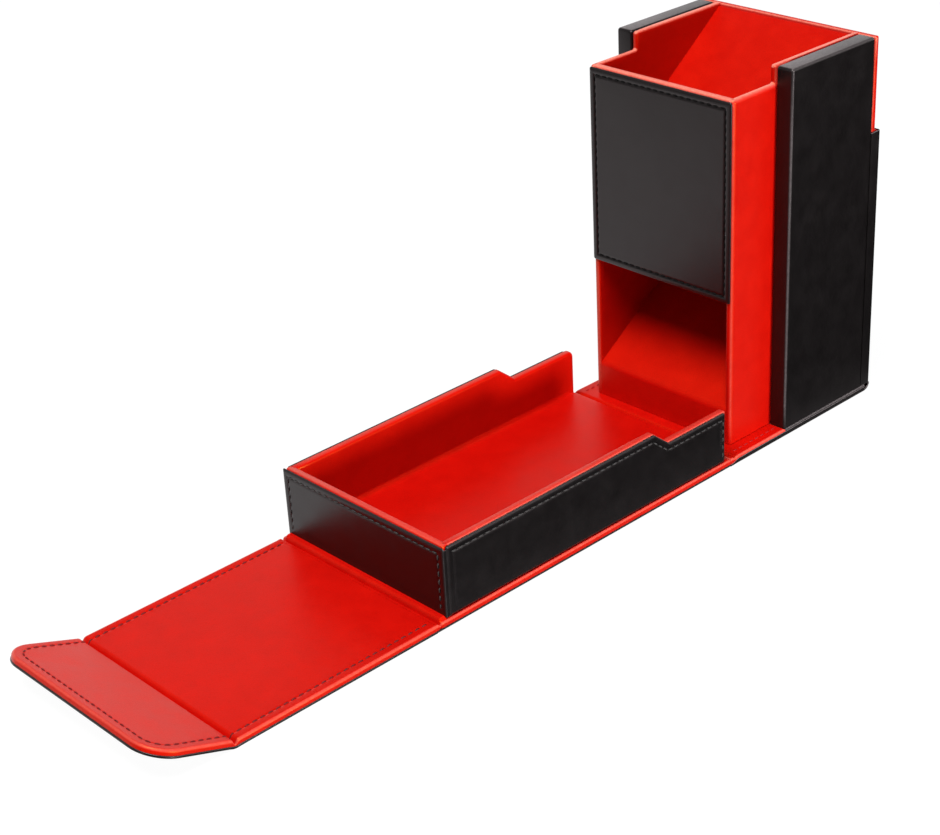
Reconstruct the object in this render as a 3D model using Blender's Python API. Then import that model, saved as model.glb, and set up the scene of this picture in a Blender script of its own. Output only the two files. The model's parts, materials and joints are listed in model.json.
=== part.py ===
"""Folding dice tower: greyboard panels wrapped in leatherette, black outside and red inside.

A case strip runs from the closing lip, over the cover panel, under the tray and the tower, and up
the tower's back. The tray folds up against the tower's front, the cover folds over the top and the
lip folds down behind. Lengths are in metres, +X is the tower's right side, the tray and the lip
reach towards -Y, and +Z is up.

The pieces are laid out in case coordinates: the case lies flat with its underside at z = 0, and
y = 0 is the front face of the tower. Parent empties on the fold lines then carry them to their
places.
"""

from math import cos, pi, radians, sin, tan

import bmesh
import bpy
from mathutils import Vector

# Sheets and boards
SKIN = 0.0008
LINING = 0.0006
GLUE = 0.0002
CASE_BOARD = 0.0014
WALL_BOARD = 0.0014
RAMP_BOARD = 0.0010
TRAY_WALL_BOARD = 0.0020
TRAY_FLOOR_BOARD = 0.0024
SIDE_PANEL_BOARD = 0.0070
EDGE_ROUND = 0.0006
PANEL_EDGE_ROUND = 0.0010

# Tower
BODY_WIDTH = 0.0756
BODY_DEPTH = 0.0784
TOWER_TOP = 0.1604
OPENING_TOP = 0.0675
SILL_TOP = 0.0190
FRONT_STEP_SLACK = 0.0034
PANEL_SKIN_EDGE = 0.0006

# Ramps
EXIT_RAMP_ANGLE = radians(34.0)
MIDDLE_RAMP_ANGLE = radians(27.0)
UPPER_RAMP_ANGLE = radians(35.5)
MIDDLE_RAMP_TOP = 0.1055
UPPER_RAMP_DROP = 0.0019
UPPER_RAMP_GAP = 0.0240
MIDDLE_RAMP_GAP = 0.0300

# Tray
TRAY_INSET = 0.0006
TRAY_WALL_HEIGHT = 0.0298
TRAY_LOW_WALL_HEIGHT = 0.0229
TRAY_REAR_GAP = 0.0110
TRAY_LOW_WALL_LENGTH = 0.0354
TRAY_NOTCH_SLOPE = 0.0086
TRAY_WALL_CORNER = 0.0026
TRAY_SKIN_FOOT = 0.0004

# Folds
FOLD_HEIGHT = 0.0012
FOLD_HALF_GAP = 0.0024
FOLD_CLEARANCE = 0.0006
COVER_CLEARANCE = 0.0008
CLOSED_TOP_SLACK = 0.0030
LIP_SLACK = 0.0044
LIP_END_GAP = 0.0112
LIP_REST_ANGLE = radians(21.0)

# Lip and its catch
LIP_LENGTH = 0.0354
LIP_CORNER = 0.0120
MAGNET_RADIUS = 0.0050
MAGNET_THICKNESS = 0.0012
PLATE_RADIUS = 0.0065
PLATE_THICKNESS = 0.0010
MAGNET_FROM_EDGE = 0.0110
MAGNET_FROM_SIDE = 0.0180

# Back corner
BACK_CORNER = 0.0032

# Making
OVERRUN = 0.0010
ARC_STEPS = 6
ROUND_STEPS = 2
DISC_SIDES = 24
SHARP_ANGLE = radians(40.0)

# Thicknesses that follow from the layers
CASE_THICK = SKIN + GLUE + CASE_BOARD + GLUE + LINING
LINING_FOOT = SKIN + GLUE
WALL = LINING + GLUE + WALL_BOARD + GLUE + LINING
RAMP = LINING + GLUE + RAMP_BOARD + GLUE + LINING
TRAY_WRAP = LINING + GLUE + TRAY_WALL_BOARD + GLUE + LINING
TRAY_WALL = TRAY_WRAP + GLUE + SKIN
SIDE_PANEL = SIDE_PANEL_BOARD + GLUE + SKIN

# Heights on the lying case
STANDING = CASE_THICK + GLUE
TRAY_FLOOR_BOARD_TOP = STANDING + TRAY_FLOOR_BOARD
TRAY_FLOOR_TOP = TRAY_FLOOR_BOARD_TOP + GLUE + LINING
TRAY_RIM = STANDING + TRAY_WALL_HEIGHT
TRAY_LOW_RIM = STANDING + TRAY_LOW_WALL_HEIGHT
FRONT_PANEL_PROUD = GLUE + SKIN
ABOVE_FOLD = CASE_THICK - FOLD_HEIGHT

# Where the folds lie, so that the closed case goes round the tower
BACK_WALL_FRONT = BODY_DEPTH + GLUE
BACK_WALL_REAR = BACK_WALL_FRONT + WALL
BACK_PANEL_FRONT = BACK_WALL_REAR + GLUE
REAR = BACK_PANEL_FRONT + CASE_THICK
TRAY_FOLD = -(FRONT_PANEL_PROUD + FOLD_CLEARANCE + TRAY_FLOOR_TOP - FOLD_HEIGHT)
SIDE_PANEL_FRONT = TRAY_FOLD + TRAY_RIM - FOLD_HEIGHT + FOLD_CLEARANCE
TRAY_FRONT = TRAY_FOLD - (TOWER_TOP + CLOSED_TOP_SLACK - FOLD_HEIGHT)
COVER_FOLD = TRAY_FRONT - COVER_CLEARANCE - ABOVE_FOLD
COVER_LENGTH = BACK_WALL_REAR + LIP_SLACK + ABOVE_FOLD - TRAY_FOLD
LIP_FOLD = COVER_FOLD - COVER_LENGTH
LIP_EDGE = LIP_FOLD - LIP_LENGTH
CLOSED_COVER_HEIGHT = FOLD_HEIGHT + TRAY_FOLD - COVER_FOLD
BACK_PANEL_TOP = CLOSED_COVER_HEIGHT - LIP_LENGTH - LIP_END_GAP
FRONT_RIM = TOWER_TOP - TRAY_WALL - FRONT_STEP_SLACK

# Widths
BODY_HALF = BODY_WIDTH / 2
INNER_HALF = BODY_HALF - WALL
BETWEEN_WALLS_HALF = INNER_HALF - GLUE
CASE_HALF = BODY_HALF + GLUE + SIDE_PANEL
WITHIN_SKIN_HALF = CASE_HALF - SKIN - GLUE
TRAY_HALF = CASE_HALF - TRAY_INSET
TRAY_WRAP_HALF = TRAY_HALF - SKIN - GLUE
TRAY_INNER_HALF = TRAY_HALF - TRAY_WALL
TRAY_FLOOR_HALF = TRAY_INNER_HALF - GLUE

# The model's origin is below the middle of the opened object
LIP_REACH = LIP_LENGTH * cos(LIP_REST_ANGLE) + FOLD_HEIGHT * sin(LIP_REST_ANGLE)
MIDDLE = (REAR + LIP_FOLD - LIP_REACH) / 2

RED = (0.78, 0.02, 0.015)
BLACK = (0.018, 0.016, 0.016)
GREYBOARD = (0.36, 0.33, 0.29)
STEEL = (0.55, 0.55, 0.56)
NICKEL = (0.68, 0.66, 0.62)


def clear_scene():
    for thing in list(bpy.data.objects):
        bpy.data.objects.remove(thing, do_unlink=True)


def finish(name, colour, roughness, metallic):
    """A plain Principled material of the piece's own."""
    material = bpy.data.materials.new(name + "_finish")
    material.use_nodes = True
    shader = material.node_tree.nodes["Principled BSDF"]
    shader.inputs["Base Color"].default_value = (*colour, 1.0)
    shader.inputs["Roughness"].default_value = roughness
    shader.inputs["Metallic"].default_value = metallic
    return material


FINISHES = {
    "red": (RED, 0.45, 0.0),
    "black": (BLACK, 0.42, 0.0),
    "board": (GREYBOARD, 0.9, 0.0),
    "steel": (STEEL, 0.35, 1.0),
    "magnet": (NICKEL, 0.25, 1.0),
}


def rectangle(low_a, low_b, high_a, high_b):
    """Corners of a rectangle, counter-clockwise from its low corner, none of them rounded."""
    return [(low_a, low_b, 0), (high_a, low_b, 0), (high_a, high_b, 0), (low_a, high_b, 0)]


def inset(corners, distance, open_edges=(), open_distance=0.0):
    """Move each edge of a counter-clockwise outline inwards; the open edges by their own distance."""
    count = len(corners)
    lines = []
    for index in range(count):
        start = Vector(corners[index][:2])
        end = Vector(corners[(index + 1) % count][:2])
        along = (end - start).normalized()
        inward = Vector((-along.y, along.x))
        shift = open_distance if index in open_edges else distance
        lines.append((start + inward * shift, along))
    moved = []
    for index in range(count):
        point, along = lines[index - 1]
        other, across = lines[index]
        step = (other - point).cross(across) / along.cross(across)
        place = point + along * step
        radius = corners[index][2]
        moved.append((place.x, place.y, max(radius - distance, 0) if radius else 0))
    return moved


def trace(corners):
    """Points of an outline with its rounded corners as arcs, and the edge that leaves each point."""
    points = []
    edges = []
    count = len(corners)
    for index, (a, b, radius) in enumerate(corners):
        corner = Vector((a, b))
        if not radius:
            points.append(corner)
            edges.append(index)
            continue
        back = (Vector(corners[index - 1][:2]) - corner).normalized()
        ahead = (Vector(corners[(index + 1) % count][:2]) - corner).normalized()
        half = back.angle(ahead) / 2
        centre = corner + (back + ahead).normalized() * (radius / sin(half))
        spoke = corner + back * (radius / tan(half)) - centre
        turn = pi - 2 * half
        for step in range(ARC_STEPS + 1):
            angle = turn * step / ARC_STEPS
            swung = Vector((spoke.x * cos(angle) - spoke.y * sin(angle), spoke.x * sin(angle) + spoke.y * cos(angle)))
            points.append(centre + swung)
            edges.append(index if step == ARC_STEPS else None)
    return points, edges


def lift(point, axis, level):
    """A point of an outline in the plane across an axis, at a level along that axis."""
    if axis == "X":
        return Vector((level, point.x, point.y))
    if axis == "Y":
        return Vector((point.x, level, point.y))
    return Vector((point.x, point.y, level))


def prism(corners, axis, low, high, rounding=0.0, open_edges=(), open_low=False, open_high=False):
    """Mesh of an outline drawn out along an axis; edges round the open faces are left square."""
    points, sources = trace(corners)
    mesh = bmesh.new()
    rings = []
    for level in (low, high):
        rings.append([mesh.verts.new(lift(point, axis, level)) for point in points])
    count = len(points)
    square_faces = []
    for index in range(count):
        after = (index + 1) % count
        face = mesh.faces.new((rings[0][index], rings[0][after], rings[1][after], rings[1][index]))
        if sources[index] in open_edges:
            square_faces.append(face)
    floor = mesh.faces.new(rings[0])
    ceiling = mesh.faces.new(rings[1])
    if open_low:
        square_faces.append(floor)
    if open_high:
        square_faces.append(ceiling)
    bmesh.ops.recalc_face_normals(mesh, faces=mesh.faces[:])
    if rounding:
        square = {edge for face in square_faces for edge in face.edges}
        chosen = [
            edge for edge in mesh.edges
            if edge not in square and edge.calc_face_angle(0.0) > SHARP_ANGLE
        ]
        bmesh.ops.bevel(
            mesh, geom=chosen, offset=rounding, segments=ROUND_STEPS, profile=0.5,
            affect="EDGES", clamp_overlap=True)
    return mesh


def disc(centre, axis, radius, thickness):
    """Mesh of a disc round a centre, its flat faces across the axis."""
    mesh = bmesh.new()
    rings = []
    for side in (-1, 1):
        ring = []
        for step in range(DISC_SIDES):
            angle = 2 * pi * step / DISC_SIDES
            spot = Vector((radius * cos(angle), radius * sin(angle)))
            ring.append(mesh.verts.new(centre + lift(spot, axis, side * thickness / 2)))
        rings.append(ring)
    for step in range(DISC_SIDES):
        after = (step + 1) % DISC_SIDES
        mesh.faces.new((rings[0][step], rings[0][after], rings[1][after], rings[1][step]))
    mesh.faces.new(rings[0])
    mesh.faces.new(rings[1])
    bmesh.ops.recalc_face_normals(mesh, faces=mesh.faces[:])
    return mesh


def add_object(name, mesh, body):
    """Object from a mesh in case coordinates, carried by the empty of its body."""
    data = bpy.data.meshes.new(name)
    mesh.to_mesh(data)
    mesh.free()
    data.shade_smooth()
    data.set_sharp_from_angle(angle=SHARP_ANGLE)
    piece = bpy.data.objects.new(name, data)
    bpy.context.scene.collection.objects.link(piece)
    piece.parent = body["empty"]
    piece.location = -body["origin"]
    return piece


def add_piece(name, mesh, body, kind):
    piece = add_object(name, mesh, body)
    piece.data.materials.append(finish(name, *FINISHES[kind]))
    return piece


def cut(piece, mesh, body, label):
    """Take a shape out of a piece; the cutter stays as a hidden guide."""
    cutter = add_object(piece.name + "_" + label, mesh, body)
    cutter.hide_render = True
    cutter.display_type = "WIRE"
    hollow = piece.modifiers.new(label, "BOOLEAN")
    hollow.operation = "DIFFERENCE"
    hollow.solver = "EXACT"
    hollow.object = cutter


def add_wrap(name, corners, axis, low, high, body, kind, sheet, rounding, **opened):
    """A sheet wrapped round a board: a solid with a pocket that is open where the sheet ends."""
    open_edges = opened.get("open_edges", ())
    open_low = opened.get("open_low", False)
    open_high = opened.get("open_high", False)
    wrap = add_piece(name, prism(corners, axis, low, high, rounding, **opened), body, kind)
    pocket = inset(corners, sheet, open_edges, -OVERRUN)
    floor = low - OVERRUN if open_low else low + sheet
    ceiling = high + OVERRUN if open_high else high - sheet
    cut(wrap, prism(pocket, axis, floor, ceiling), body, "pocket")
    return wrap


def add_board(name, corners, axis, low, high, body, sheet, **opened):
    """The board inside a wrap, clear of it by a glue line."""
    room = sheet + GLUE
    outline = inset(corners, room, opened.get("open_edges", ()), 0.0)
    floor = low if opened.get("open_low", False) else low + room
    ceiling = high if opened.get("open_high", False) else high - room
    return add_piece(name, prism(outline, axis, floor, ceiling), body, "board")


def add_wrapped_board(name, corners, axis, low, high, body, rounding=EDGE_ROUND, **opened):
    """A red lining and its board; returns both."""
    lining = add_wrap(
        name + "_lining", corners, axis, low, high, body, "red", LINING, rounding, **opened)
    board = add_board(name + "_board", corners, axis, low, high, body, LINING, **opened)
    return lining, board


def add_sheet(name, corners, axis, low, high, body, kind):
    return add_piece(name, prism(corners, axis, low, high), body, kind)


def add_body(name, parent, origin, turn=0.0):
    """An empty on a fold line, given by its place on the lying case."""
    empty = bpy.data.objects.new(name, None)
    bpy.context.scene.collection.objects.link(empty)
    if parent:
        empty.parent = parent["empty"]
        empty.location = origin - parent["origin"]
    else:
        empty.location = origin - Vector((0, MIDDLE, 0))
    empty.rotation_euler = (-turn, 0, 0)
    return {"empty": empty, "origin": origin}


def add_case_panel(prefix, front, rear, body, corner=0.0):
    """One stiff panel of the lying case: skin below, board, and lining turned down over its edges."""
    outline = [(-CASE_HALF, front, corner), (CASE_HALF, front, corner), (CASE_HALF, rear, 0), (-CASE_HALF, rear, 0)]
    add_sheet(prefix + "_skin", outline, "Z", 0, SKIN, body, "black")
    return add_wrapped_board(prefix, outline, "Z", LINING_FOOT, CASE_THICK, body, open_low=True)


def add_fold(prefix, fold, body):
    """The two sheets that bend between two panels: black below and red in the groove above."""
    front = fold - FOLD_HALF_GAP + GLUE
    rear = fold + FOLD_HALF_GAP - GLUE
    outline = rectangle(-CASE_HALF, front, CASE_HALF, rear)
    add_sheet(prefix + "_skin", outline, "Z", 0, SKIN, body, "black")
    add_sheet(prefix + "_lining", outline, "Z", LINING_FOOT, LINING_FOOT + LINING, body, "red")


# Case under and behind the tower

def add_base(tower):
    front = TRAY_FOLD + FOLD_HALF_GAP
    add_case_panel("base", front, BACK_WALL_REAR, tower)


def add_back_corner(tower):
    """A quarter turn of black sheet from the underside up to the back panel."""
    outer = [(REAR - BACK_CORNER, 0, 0), (REAR, 0, BACK_CORNER), (REAR, BACK_CORNER, 0)]
    inner_radius = BACK_CORNER - SKIN
    inner_edge = REAR - SKIN
    inner = [(inner_edge, BACK_CORNER, 0), (inner_edge, SKIN, inner_radius), (REAR - BACK_CORNER, SKIN, 0)]
    outer_points = arc_through(outer)
    inner_points = arc_through(inner)
    corners = [(point.x, point.y, 0) for point in outer_points + inner_points]
    add_sheet("back_corner_skin", corners, "X", -CASE_HALF, CASE_HALF, tower, "black")


def arc_through(corners):
    """Points of an open run of three corners whose middle one is rounded from end to end."""
    start, middle, end = (Vector(corner[:2]) for corner in corners)
    radius = corners[1][2]
    centre = start + end - middle
    points = []
    for step in range(ARC_STEPS + 1):
        angle = pi / 2 * step / ARC_STEPS
        points.append(centre + (start - centre) * cos(angle) + (end - centre) * sin(angle))
    assert abs((start - centre).length - radius) < GLUE
    return points


def add_back_panel(tower):
    """The case's rear panel; its black sheet also turns forward over the edges of the back wall."""
    foot = BACK_CORNER + GLUE
    outline = rectangle(-WITHIN_SKIN_HALF, foot, WITHIN_SKIN_HALF, BACK_PANEL_TOP)
    lining_rear = REAR - SKIN - GLUE
    add_wrapped_board("back_panel", outline, "Y", BACK_PANEL_FRONT, lining_rear, tower, open_high=True)
    inner = CASE_HALF - SKIN
    inner_rear = REAR - SKIN
    turned = [
        (-CASE_HALF, BACK_WALL_FRONT, 0),
        (-inner, BACK_WALL_FRONT, 0),
        (-inner, inner_rear, 0),
        (inner, inner_rear, 0),
        (inner, BACK_WALL_FRONT, 0),
        (CASE_HALF, BACK_WALL_FRONT, 0),
        (CASE_HALF, REAR, PANEL_EDGE_ROUND),
        (-CASE_HALF, REAR, PANEL_EDGE_ROUND),
    ]
    add_sheet("back_panel_skin", turned, "Z", foot, BACK_PANEL_TOP, tower, "black")


# Tower walls

def side_wall_outline():
    """Side view of a side wall, with the step down at its front top corner."""
    return [
        (0, STANDING, 0),
        (BODY_DEPTH, STANDING, 0),
        (BODY_DEPTH, TOWER_TOP, 0),
        (SIDE_PANEL_FRONT, TOWER_TOP, 0),
        (SIDE_PANEL_FRONT, FRONT_RIM, 0),
        (0, FRONT_RIM, 0),
    ]


def add_side_walls(tower):
    outline = side_wall_outline()
    add_wrapped_board("left_wall", outline, "X", -BODY_HALF, -INNER_HALF, tower, open_edges=(0,))
    add_wrapped_board("right_wall", outline, "X", INNER_HALF, BODY_HALF, tower, open_edges=(0,))


def add_back_wall(tower):
    """The wall across the tower's back, with two catch plates let into its board.

    Up to the top of the back panel it is narrower, where the black sheet is turned over its edges.
    """
    step = BACK_PANEL_TOP + GLUE
    outline = [
        (-WITHIN_SKIN_HALF, STANDING, 0),
        (WITHIN_SKIN_HALF, STANDING, 0),
        (WITHIN_SKIN_HALF, step, 0),
        (CASE_HALF, step, 0),
        (CASE_HALF, TOWER_TOP, 0),
        (-CASE_HALF, TOWER_TOP, 0),
        (-CASE_HALF, step, 0),
        (-WITHIN_SKIN_HALF, step, 0),
    ]
    lining, board = add_wrapped_board(
        "back_wall", outline, "Y", BACK_WALL_FRONT, BACK_WALL_REAR, tower, open_edges=(0,))
    height = CLOSED_COVER_HEIGHT - LIP_LENGTH + MAGNET_FROM_EDGE
    middle = (BACK_WALL_FRONT + BACK_WALL_REAR) / 2
    for label, side in (("left", -1), ("right", 1)):
        place = Vector((side * (CASE_HALF - MAGNET_FROM_SIDE), middle, height))
        cut(board, disc(place, "Y", PLATE_RADIUS + GLUE, WALL), tower, label + "_seat")
        add_piece(label + "_catch_plate", disc(place, "Y", PLATE_RADIUS, PLATE_THICKNESS), tower, "steel")


def add_front_wall(tower):
    outline = rectangle(-BETWEEN_WALLS_HALF, OPENING_TOP, BETWEEN_WALLS_HALF, FRONT_RIM)
    add_wrapped_board("front_wall", outline, "Y", 0, WALL, tower, open_edges=(1, 3))
    panel = rectangle(-BODY_HALF, OPENING_TOP, BODY_HALF, FRONT_RIM - PANEL_SKIN_EDGE)
    add_sheet("front_panel_skin", panel, "Y", -FRONT_PANEL_PROUD, -GLUE, tower, "black")


def add_sill(tower):
    """A low wall whose top slopes on into the exit ramp."""
    rear_top = SILL_TOP + WALL * tan(EXIT_RAMP_ANGLE)
    outline = [(0, STANDING, 0), (WALL, STANDING, 0), (WALL, rear_top, 0), (0, SILL_TOP, 0)]
    add_wrapped_board("sill", outline, "X", -BETWEEN_WALLS_HALF, BETWEEN_WALLS_HALF, tower, open_edges=(0,))


def add_side_panels(tower):
    """The thick black panels on the rear of both sides."""
    outline = rectangle(SIDE_PANEL_FRONT, STANDING, BODY_DEPTH, TOWER_TOP)
    inner = BODY_HALF + GLUE
    for label, low, high, opened in (
        ("left", -CASE_HALF, -inner, {"open_high": True}),
        ("right", inner, CASE_HALF, {"open_low": True}),
    ):
        name = label + "_side_panel"
        add_wrap(
            name + "_skin", outline, "X", low, high, tower, "black", SKIN, PANEL_EDGE_ROUND, **opened)
        add_board(name + "_board", outline, "X", low, high, tower, SKIN, **opened)


# Ramps

def ramp_outline(front, front_height, rear, rear_height, angle):
    """Side view of a sloping board with upright ends, given by the two ends of its upper face."""
    drop = RAMP / cos(angle)
    return [
        (front, front_height - drop, 0),
        (rear, rear_height - drop, 0),
        (rear, rear_height, 0),
        (front, front_height, 0),
    ]


def add_ramps(tower):
    span = (-BETWEEN_WALLS_HALF, BETWEEN_WALLS_HALF)
    foot = WALL + GLUE
    exit_foot, exit_top = (SILL_TOP + depth * tan(EXIT_RAMP_ANGLE) for depth in (foot, BODY_DEPTH))
    outline = ramp_outline(foot, exit_foot, BODY_DEPTH, exit_top, EXIT_RAMP_ANGLE)
    add_wrapped_board("exit_ramp", outline, "X", *span, tower, open_edges=(1,))
    middle_end = BODY_DEPTH - MIDDLE_RAMP_GAP
    middle_foot = MIDDLE_RAMP_TOP - (middle_end - foot) * tan(MIDDLE_RAMP_ANGLE)
    outline = ramp_outline(foot, MIDDLE_RAMP_TOP, middle_end, middle_foot, MIDDLE_RAMP_ANGLE)
    add_wrapped_board("middle_ramp", outline, "X", *span, tower, open_edges=(3,))
    upper_end = WALL + UPPER_RAMP_GAP
    upper_top = TOWER_TOP - UPPER_RAMP_DROP
    upper_foot = upper_top - (BODY_DEPTH - upper_end) * tan(UPPER_RAMP_ANGLE)
    outline = ramp_outline(upper_end, upper_foot, BODY_DEPTH, upper_top, UPPER_RAMP_ANGLE)
    add_wrapped_board("upper_ramp", outline, "X", *span, tower, open_edges=(1,))


# Tray

def add_tray_floor(tray):
    front = TRAY_FRONT + TRAY_WALL + GLUE
    outline = rectangle(-TRAY_FLOOR_HALF, front, TRAY_FLOOR_HALF, -TRAY_REAR_GAP)
    add_sheet("tray_floor_board", outline, "Z", STANDING, TRAY_FLOOR_BOARD_TOP, tray, "board")
    lining_foot = TRAY_FLOOR_BOARD_TOP + GLUE
    add_sheet("tray_floor_lining", outline, "Z", lining_foot, TRAY_FLOOR_TOP, tray, "red")


def tray_side_outline(front):
    """Side view of a tray side wall: full height in front, a sloping notch, and a low rear end."""
    notch_low = -(TRAY_REAR_GAP + TRAY_LOW_WALL_LENGTH)
    return [
        (front, STANDING, 0),
        (-TRAY_REAR_GAP, STANDING, 0),
        (-TRAY_REAR_GAP, TRAY_LOW_RIM, TRAY_WALL_CORNER),
        (notch_low, TRAY_LOW_RIM, 0),
        (notch_low - TRAY_NOTCH_SLOPE, TRAY_RIM, 0),
        (front, TRAY_RIM, 0),
    ]


def skin_outline(corners, foot):
    """The part of a wall's face that its black skin covers."""
    trimmed = inset(corners, PANEL_SKIN_EDGE, (0,), foot)
    return trimmed


def add_tray_sides(tray):
    front = TRAY_FRONT + TRAY_WALL + GLUE
    outline = tray_side_outline(front)
    skin_front = TRAY_FRONT + SKIN + GLUE - PANEL_SKIN_EDGE
    covered = skin_outline(tray_side_outline(skin_front), TRAY_SKIN_FOOT)
    for label, side in (("left", -1), ("right", 1)):
        faces = sorted((side * TRAY_INNER_HALF, side * TRAY_WRAP_HALF))
        skins = sorted((side * (TRAY_HALF - SKIN), side * TRAY_HALF))
        add_wrapped_board("tray_" + label, outline, "X", *faces, tray, open_edges=(0,))
        add_sheet("tray_" + label + "_skin", covered, "X", *skins, tray, "black")


def add_tray_front(tray):
    outline = rectangle(-TRAY_WRAP_HALF, STANDING, TRAY_WRAP_HALF, TRAY_RIM)
    outer = TRAY_FRONT + SKIN + GLUE
    add_wrapped_board("tray_front", outline, "Y", outer, outer + TRAY_WRAP, tray, open_edges=(0,))
    covered = rectangle(-TRAY_HALF, STANDING + TRAY_SKIN_FOOT, TRAY_HALF, TRAY_RIM - PANEL_SKIN_EDGE)
    add_sheet("tray_front_skin", covered, "Y", TRAY_FRONT, TRAY_FRONT + SKIN, tray, "black")


def add_tray(tray):
    add_case_panel("tray_base", COVER_FOLD + FOLD_HALF_GAP, TRAY_FOLD - FOLD_HALF_GAP, tray)
    add_tray_floor(tray)
    add_tray_sides(tray)
    add_tray_front(tray)


# Closing lip

def add_lip(lip):
    """The rounded end of the case, with two magnets let into its board."""
    lining, board = add_case_panel("lip", LIP_EDGE, LIP_FOLD - FOLD_HALF_GAP, lip, LIP_CORNER)
    middle = LINING_FOOT + CASE_BOARD / 2
    for label, side in (("left", -1), ("right", 1)):
        place = Vector((side * (CASE_HALF - MAGNET_FROM_SIDE), LIP_EDGE + MAGNET_FROM_EDGE, middle))
        cut(board, disc(place, "Z", MAGNET_RADIUS + GLUE, CASE_THICK), lip, label + "_seat")
        add_piece(label + "_lip_magnet", disc(place, "Z", MAGNET_RADIUS, MAGNET_THICKNESS), lip, "magnet")


def main():
    clear_scene()
    tower = add_body("tower_frame", None, Vector((0, 0, 0)))
    tray = add_body("tray_fold_axis", tower, Vector((0, TRAY_FOLD, FOLD_HEIGHT)))
    cover = add_body("cover_fold_axis", tray, Vector((0, COVER_FOLD, FOLD_HEIGHT)))
    lip = add_body("lip_fold_axis", cover, Vector((0, LIP_FOLD, FOLD_HEIGHT)), LIP_REST_ANGLE)
    add_base(tower)
    add_back_corner(tower)
    add_back_panel(tower)
    add_side_walls(tower)
    add_back_wall(tower)
    add_front_wall(tower)
    add_sill(tower)
    add_side_panels(tower)
    add_ramps(tower)
    add_fold("tray_hinge", TRAY_FOLD, tower)
    add_tray(tray)
    add_fold("cover_hinge", COVER_FOLD, tray)
    add_case_panel("cover", LIP_FOLD + FOLD_HALF_GAP, COVER_FOLD - FOLD_HALF_GAP, cover)
    add_fold("lip_hinge", LIP_FOLD, cover)
    add_lip(lip)


main()
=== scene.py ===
"""Looks of the folding dice tower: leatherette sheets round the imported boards, their seams and folds."""

import json
from functools import partial
from math import atan2, ceil, cos, degrees, exp, pi, radians, sin, tan

import bmesh
import bpy
from mathutils import Matrix, Vector
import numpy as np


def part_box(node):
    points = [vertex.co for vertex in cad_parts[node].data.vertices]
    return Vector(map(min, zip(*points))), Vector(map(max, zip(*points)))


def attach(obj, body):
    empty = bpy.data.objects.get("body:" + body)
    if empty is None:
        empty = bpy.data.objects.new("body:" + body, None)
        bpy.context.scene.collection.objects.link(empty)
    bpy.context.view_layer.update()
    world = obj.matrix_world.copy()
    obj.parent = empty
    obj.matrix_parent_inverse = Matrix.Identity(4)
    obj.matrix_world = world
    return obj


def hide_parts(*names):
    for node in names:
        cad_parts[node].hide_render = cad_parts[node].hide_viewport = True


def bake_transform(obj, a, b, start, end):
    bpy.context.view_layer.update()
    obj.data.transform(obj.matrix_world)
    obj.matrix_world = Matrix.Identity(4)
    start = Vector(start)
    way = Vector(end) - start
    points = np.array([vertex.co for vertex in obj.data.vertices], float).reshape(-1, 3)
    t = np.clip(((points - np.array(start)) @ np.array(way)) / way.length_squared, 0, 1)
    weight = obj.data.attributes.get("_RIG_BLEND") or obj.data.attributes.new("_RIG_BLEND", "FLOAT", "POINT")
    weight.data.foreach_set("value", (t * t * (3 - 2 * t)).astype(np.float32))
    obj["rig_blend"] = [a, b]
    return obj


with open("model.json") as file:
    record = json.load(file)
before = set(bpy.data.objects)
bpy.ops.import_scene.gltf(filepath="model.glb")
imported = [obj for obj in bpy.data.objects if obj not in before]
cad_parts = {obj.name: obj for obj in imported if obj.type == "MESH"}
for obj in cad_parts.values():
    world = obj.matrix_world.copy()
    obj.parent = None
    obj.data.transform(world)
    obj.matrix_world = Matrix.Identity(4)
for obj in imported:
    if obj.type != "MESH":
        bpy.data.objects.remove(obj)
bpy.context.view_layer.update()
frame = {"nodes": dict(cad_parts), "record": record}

MM = 0.001

# Camera, fitted to the photograph
CAMERA_PLACE = (510.597 * MM, -466.234 * MM, 407.956 * MM)
CAMERA_RIGHT = (0.690258, 0.721809, -0.050351)
CAMERA_DOWN = (0.304456, -0.352865, -0.884756)
CAMERA_AHEAD = (-0.656392, 0.595380, -0.463327)
LENS = 77.18
SENSOR = 36.0
CLIP_START = 0.01

# Lamps: name, place, target, size and power
LAMPS = (
    ("top", (0.25, -0.50, 1.48), (0, 0, 0.05), 0.85, 33.9),
    ("right", (1.5, 0.18, 0.08), (0, 0, 0.08), 0.30, 27.6),
)
# Light from all sides, the darkest that the floor mirrors, and the floor
AMBIENT = 0.15
FLAG_DARKEST = -0.985
FLOOR_REACH = 6.0
FLOOR_LEVEL = -0.15 * MM

# Places read from the frame
FRONT_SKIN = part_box("front_panel_skin")
LEFT_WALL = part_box("left_wall_lining")
RIGHT_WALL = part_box("right_wall_lining")
BACK_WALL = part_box("back_wall_lining")
FRONT_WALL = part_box("front_wall_lining")
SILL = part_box("sill_lining")
EXIT_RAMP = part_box("exit_ramp_lining")
MIDDLE_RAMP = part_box("middle_ramp_lining")
UPPER_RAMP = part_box("upper_ramp_lining")
LEFT_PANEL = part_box("left_side_panel_skin")
RIGHT_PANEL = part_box("right_side_panel_skin")
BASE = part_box("base_lining")
BASE_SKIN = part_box("base_skin")
BACK_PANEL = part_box("back_panel_lining")
BACK_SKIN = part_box("back_panel_skin")
BACK_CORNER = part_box("back_corner_skin")
TRAY_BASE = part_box("tray_base_lining")
TRAY_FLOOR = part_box("tray_floor_lining")
TRAY_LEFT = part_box("tray_left_lining")
TRAY_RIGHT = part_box("tray_right_lining")
TRAY_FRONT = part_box("tray_front_lining")
TRAY_LEFT_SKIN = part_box("tray_left_skin")
TRAY_RIGHT_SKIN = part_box("tray_right_skin")
TRAY_FRONT_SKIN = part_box("tray_front_skin")
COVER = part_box("cover_lining")
TOWER_FRONT = LEFT_WALL[0].y
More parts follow.
